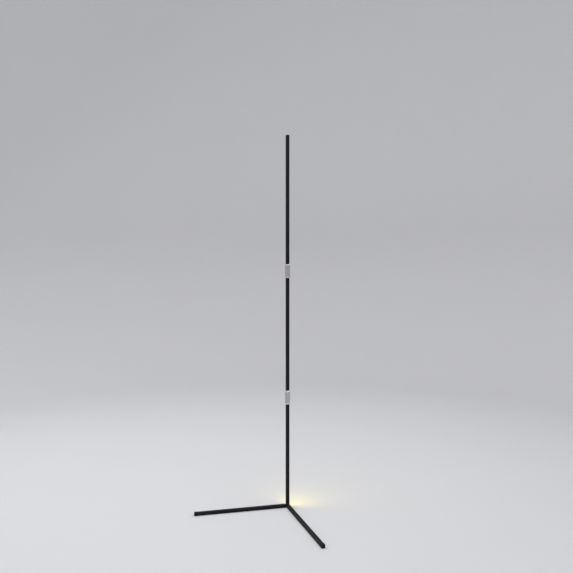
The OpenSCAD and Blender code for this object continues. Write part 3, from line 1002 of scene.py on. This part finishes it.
def make_foot():
    """The foot block with its supply socket, screws, and the bolt and washers of the legs."""
    inside = settings().inside
    dress(moulded("moulded_black", inside.moulded, 0.5), "foot_block")
    dress(plated("black_oxide_countersunk", BLACK_OXIDE, 0.36), "foot_block_screws")
    bore, bore_length, rim, mouth = 1.8 * MM, 9.0 * MM, 0.3 * MM, 0.25 * MM
    low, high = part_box("dc_socket_body")
    radius, front = (high.x - low.x) / 2, high.y
    socket = [
        (radius, low.y), (radius, front - rim), (radius - rim, front), (bore + mouth, front),
        (bore, front - mouth), (bore, front - bore_length),
    ]
    add_piece("dc_socket_shell", facing_back(socket, "dc_socket_body"), "pole_foot",
              moulded("socket_black", (0.02, 0.02, 0.021), 0.34),
              "dc_socket_body")
    low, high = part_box("dc_socket_pin")
    radius, tip, turn = (high.x - low.x) / 2, 0.02 * MM, QUARTER_TURN[:-1]
    dome = zip(radius * np.cos(turn), high.y - radius * (1 - np.sin(turn)))
    pin = [(radius, low.y), *dome, (tip, high.y)]
    add_piece("dc_socket_contact", facing_back(pin, "dc_socket_pin", 24), "pole_foot",
              plated("gold_pin", inside.gold, 0.22), "dc_socket_pin")
    dress(moulded("lead_red", inside.insulation, 0.4), "inlet_leads")
    dress(plated("zinc_bolt", inside.zinc, 0.32), "pivot_bolt")
    dress(moulded("nylon", inside.nylon, 0.45), "pivot_washers")


def make_insides():
    """Boards, chips, connectors, contacts and keys inside the pole."""
    inside = settings().inside
    for section in SECTIONS:
        dress(circuit_board(section, inside), section + "_led_board")
        dress(light_chip(section, inside), section + "_leds")
    dress(moulded("chip_black", (0.018, 0.018, 0.019), 0.55, grain=2600.0), "lower_control_chips")
    dress(moulded("connector_white", inside.housing, 0.42), "lower_board_socket",
          "middle_board_socket", "middle_board_plug", "upper_board_plug")
    dress(plated("gold_contacts", inside.gold, 0.2), "middle_plug_pins", "upper_plug_pins")
    dress(plated("zinc_key", inside.zinc, 0.3), "lower_joint_key", "upper_joint_key")


def dish_surface(stage, inner_rings=12, sweep_rings=19, segments=96):
    """Floor and backdrop as one dish: flat to a radius, then a quarter circle up to a short wall,
    turned about Z."""
    flat = np.linspace(0.02, 1.0, inner_rings) * stage.floor_radius
    turn = np.linspace(0, np.pi / 2, sweep_rings + 1)[1:]
    sweep = stage.floor_radius + stage.sweep_radius * np.sin(turn)
    rise = stage.sweep_radius * (1 - np.cos(turn))
    radius = np.concatenate([flat, sweep, sweep[-1:]])
    top = stage.sweep_radius + stage.wall_height
    height = np.concatenate([np.zeros(inner_rings), rise, [top]])
    faces = [strips(len(radius), segments, inside_out=True), np.arange(segments)[None]]
    surface = Surface()
    surface.add(turned_grid(radius, height, segments), faces)
    return surface


def soft_light(name, place, aim, size, watts, tone):
    """An area light of some width and height, hidden from the camera. Its -Z axis runs from its
    place to its aim."""
    data = bpy.data.lights.new(name, "AREA")
    data.shape = "RECTANGLE"
    data.size, data.size_y = size
    data.energy = watts
    data.color = tone
    lamp = bpy.data.objects.new(name, data)
    bpy.context.scene.collection.objects.link(lamp)
    place, aim = np.array(place, float), np.array(aim, float)
    away = (place - aim) / np.linalg.norm(place - aim)
    side = np.cross((0, 1, 0) if abs(away[2]) > 0.99 else (0, 0, 1), away)
    side /= np.linalg.norm(side)
    rows = np.eye(4)
    rows[:3, :3] = np.stack([side, np.cross(away, side), away], 1)
    rows[:3, 3] = place
    lamp.matrix_world = Matrix(rows.tolist())
    lamp.visible_camera = False


# Name, place, side and tone of each large light
STUDIO_LIGHTS = (
    ("top_light", (0.3, -0.3, 3.4), 2.6, (1.0, 0.99, 0.97)),
    ("side_light", (-2.2, -0.9, 2.8), 1.8, (0.97, 0.98, 1.0)),
)
SKY_TONE = (0.96, 0.97, 1.0)


def make_stage():
    """Camera, pale floor and soft studio light."""
    stage = settings().stage
    scene = bpy.context.scene
    lens = bpy.data.cameras.new("camera")
    lens.sensor_width = 36.0
    lens.lens = stage.focal_pixels / IMAGE_SIDE * lens.sensor_width
    lens.clip_end = 100.0
    camera = bpy.data.objects.new("camera", lens)
    scene.collection.objects.link(camera)
    azimuth = stage.camera_azimuth
    camera.location = (stage.camera_distance * math.sin(azimuth),
                       -stage.camera_distance * math.cos(azimuth), stage.camera_height)
    yaw = math.atan(stage.pole_shift / stage.focal_pixels)
    camera.rotation_euler = (math.pi / 2, 0.0, azimuth + yaw)
    scene.camera = camera

    floor = bpy.data.objects.new("floor", dish_surface(stage).mesh(sharp_from=math.pi))
    scene.collection.objects.link(floor)
    floor.data.materials.append(pale_floor(stage))

    for name, place, side, tone in STUDIO_LIGHTS:
        soft_light(name, place, (0.0, 0.0, LAMP_TOP / 2), (side, side), getattr(stage, name), tone)
    # Just behind the strip's foot, as wide as the strip and this high
    reach = 100 * MM
    low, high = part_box("lower_diffuser")
    place = np.array([0.0, high.y + 1 * MM, low.z + reach / 2])
    soft_light("foot_glow", place, place + (0, 1, 0), (high.x - low.x, reach), stage.foot_glow,
               settings().glow.foot)

    world = bpy.data.worlds.new("studio")
    world.use_nodes = True
    background = world.node_tree.nodes["Background"]
    background.inputs["Color"].default_value = (*SKY_TONE, 1.0)
    background.inputs["Strength"].default_value = stage.sky
    scene.world = world
    scene.view_settings.view_transform = "Standard"


# ---------- operators and panel ----------

class CORNER_LAMP_OT_stage(Operator):
    """Make the camera, the floor and the lights"""
    bl_idname = "corner_lamp.stage"
    bl_label = "Stage"

    def execute(self, context):
        make_stage()
        return {"FINISHED"}


class CORNER_LAMP_OT_pole(Operator):
    """Make the three black sections of the pole"""
    bl_idname = "corner_lamp.pole"
    bl_label = "Pole Sections"

    def execute(self, context):
        make_pole()
        return {"FINISHED"}


class CORNER_LAMP_OT_light_strips(Operator):
    """Make the three milky strips that the light comes out of"""
    bl_idname = "corner_lamp.light_strips"
    bl_label = "Light Strips"

    def execute(self, context):
        make_light_strips()
        return {"FINISHED"}


class CORNER_LAMP_OT_sleeves(Operator):
    """Make the two silver sleeves and finish their screws"""
    bl_idname = "corner_lamp.sleeves"
    bl_label = "Joint Sleeves"

    def execute(self, context):
        make_sleeves()
        return {"FINISHED"}


class CORNER_LAMP_OT_top_cap(Operator):
    """Make the cap on the top of the pole"""
    bl_idname = "corner_lamp.top_cap"
    bl_label = "Top Cap"

    def execute(self, context):
        make_top_cap()
        return {"FINISHED"}


class CORNER_LAMP_OT_legs(Operator):
    """Finish the leg bars and make their boots and pads"""
    bl_idname = "corner_lamp.legs"
    bl_label = "Legs"

    def execute(self, context):
        make_legs()
        return {"FINISHED"}


class CORNER_LAMP_OT_foot(Operator):
    """Make the supply socket and finish the foot block, screws, bolt and washers"""
    bl_idname = "corner_lamp.foot"
    bl_label = "Foot"

    def execute(self, context):
        make_foot()
        return {"FINISHED"}


class CORNER_LAMP_OT_insides(Operator):
    """Finish the boards, chips, connectors and keys inside the pole"""
    bl_idname = "corner_lamp.insides"
    bl_label = "Insides"

    def execute(self, context):
        make_insides()
        return {"FINISHED"}


OPERATORS = (
    CORNER_LAMP_OT_stage, CORNER_LAMP_OT_pole, CORNER_LAMP_OT_light_strips,
    CORNER_LAMP_OT_sleeves, CORNER_LAMP_OT_top_cap, CORNER_LAMP_OT_legs,
    CORNER_LAMP_OT_foot, CORNER_LAMP_OT_insides,
)
GROUPS = ("pole", "strip", "glow", "sleeve", "leg", "inside", "stage")


class CORNER_LAMP_PT_sidebar(Panel):
    """Sizes, colours and makers of the lamp"""
    bl_label = "Corner Lamp"
    bl_idname = "CORNER_LAMP_PT_sidebar"
    bl_space_type = "VIEW_3D"
    bl_region_type = "UI"
    bl_category = "Corner Lamp"

    def draw(self, context):
        lamp = context.scene.corner_lamp
        for operator in OPERATORS:
            self.layout.operator(operator.bl_idname)
        for key in GROUPS:
            group = getattr(lamp, key)
            box = self.layout.box()
            box.label(text=key.capitalize())
            for name in group.__annotations__:
                box.prop(group, name)


CLASSES = (
    PoleSettings, StripSettings, GlowSettings, SleeveSettings, LegSettings, InsideSettings,
    StageSettings, CornerLampSettings, *OPERATORS, CORNER_LAMP_PT_sidebar,
)


def register():
    """Adds the settings, the operators and the panel."""
    for item in CLASSES:
        bpy.utils.register_class(item)
    bpy.types.Scene.corner_lamp = PointerProperty(type=CornerLampSettings)


def unregister():
    """Takes away what register() added."""
    del bpy.types.Scene.corner_lamp
    for item in reversed(CLASSES):
        bpy.utils.unregister_class(item)


def main():
    """Makes the whole lamp."""
    register()
    bpy.ops.corner_lamp.stage()
    bpy.ops.corner_lamp.pole()
    bpy.ops.corner_lamp.light_strips()
    bpy.ops.corner_lamp.sleeves()
    bpy.ops.corner_lamp.top_cap()
    bpy.ops.corner_lamp.legs()
    bpy.ops.corner_lamp.foot()
    bpy.ops.corner_lamp.insides()


if __name__ == "__main__":
    main()
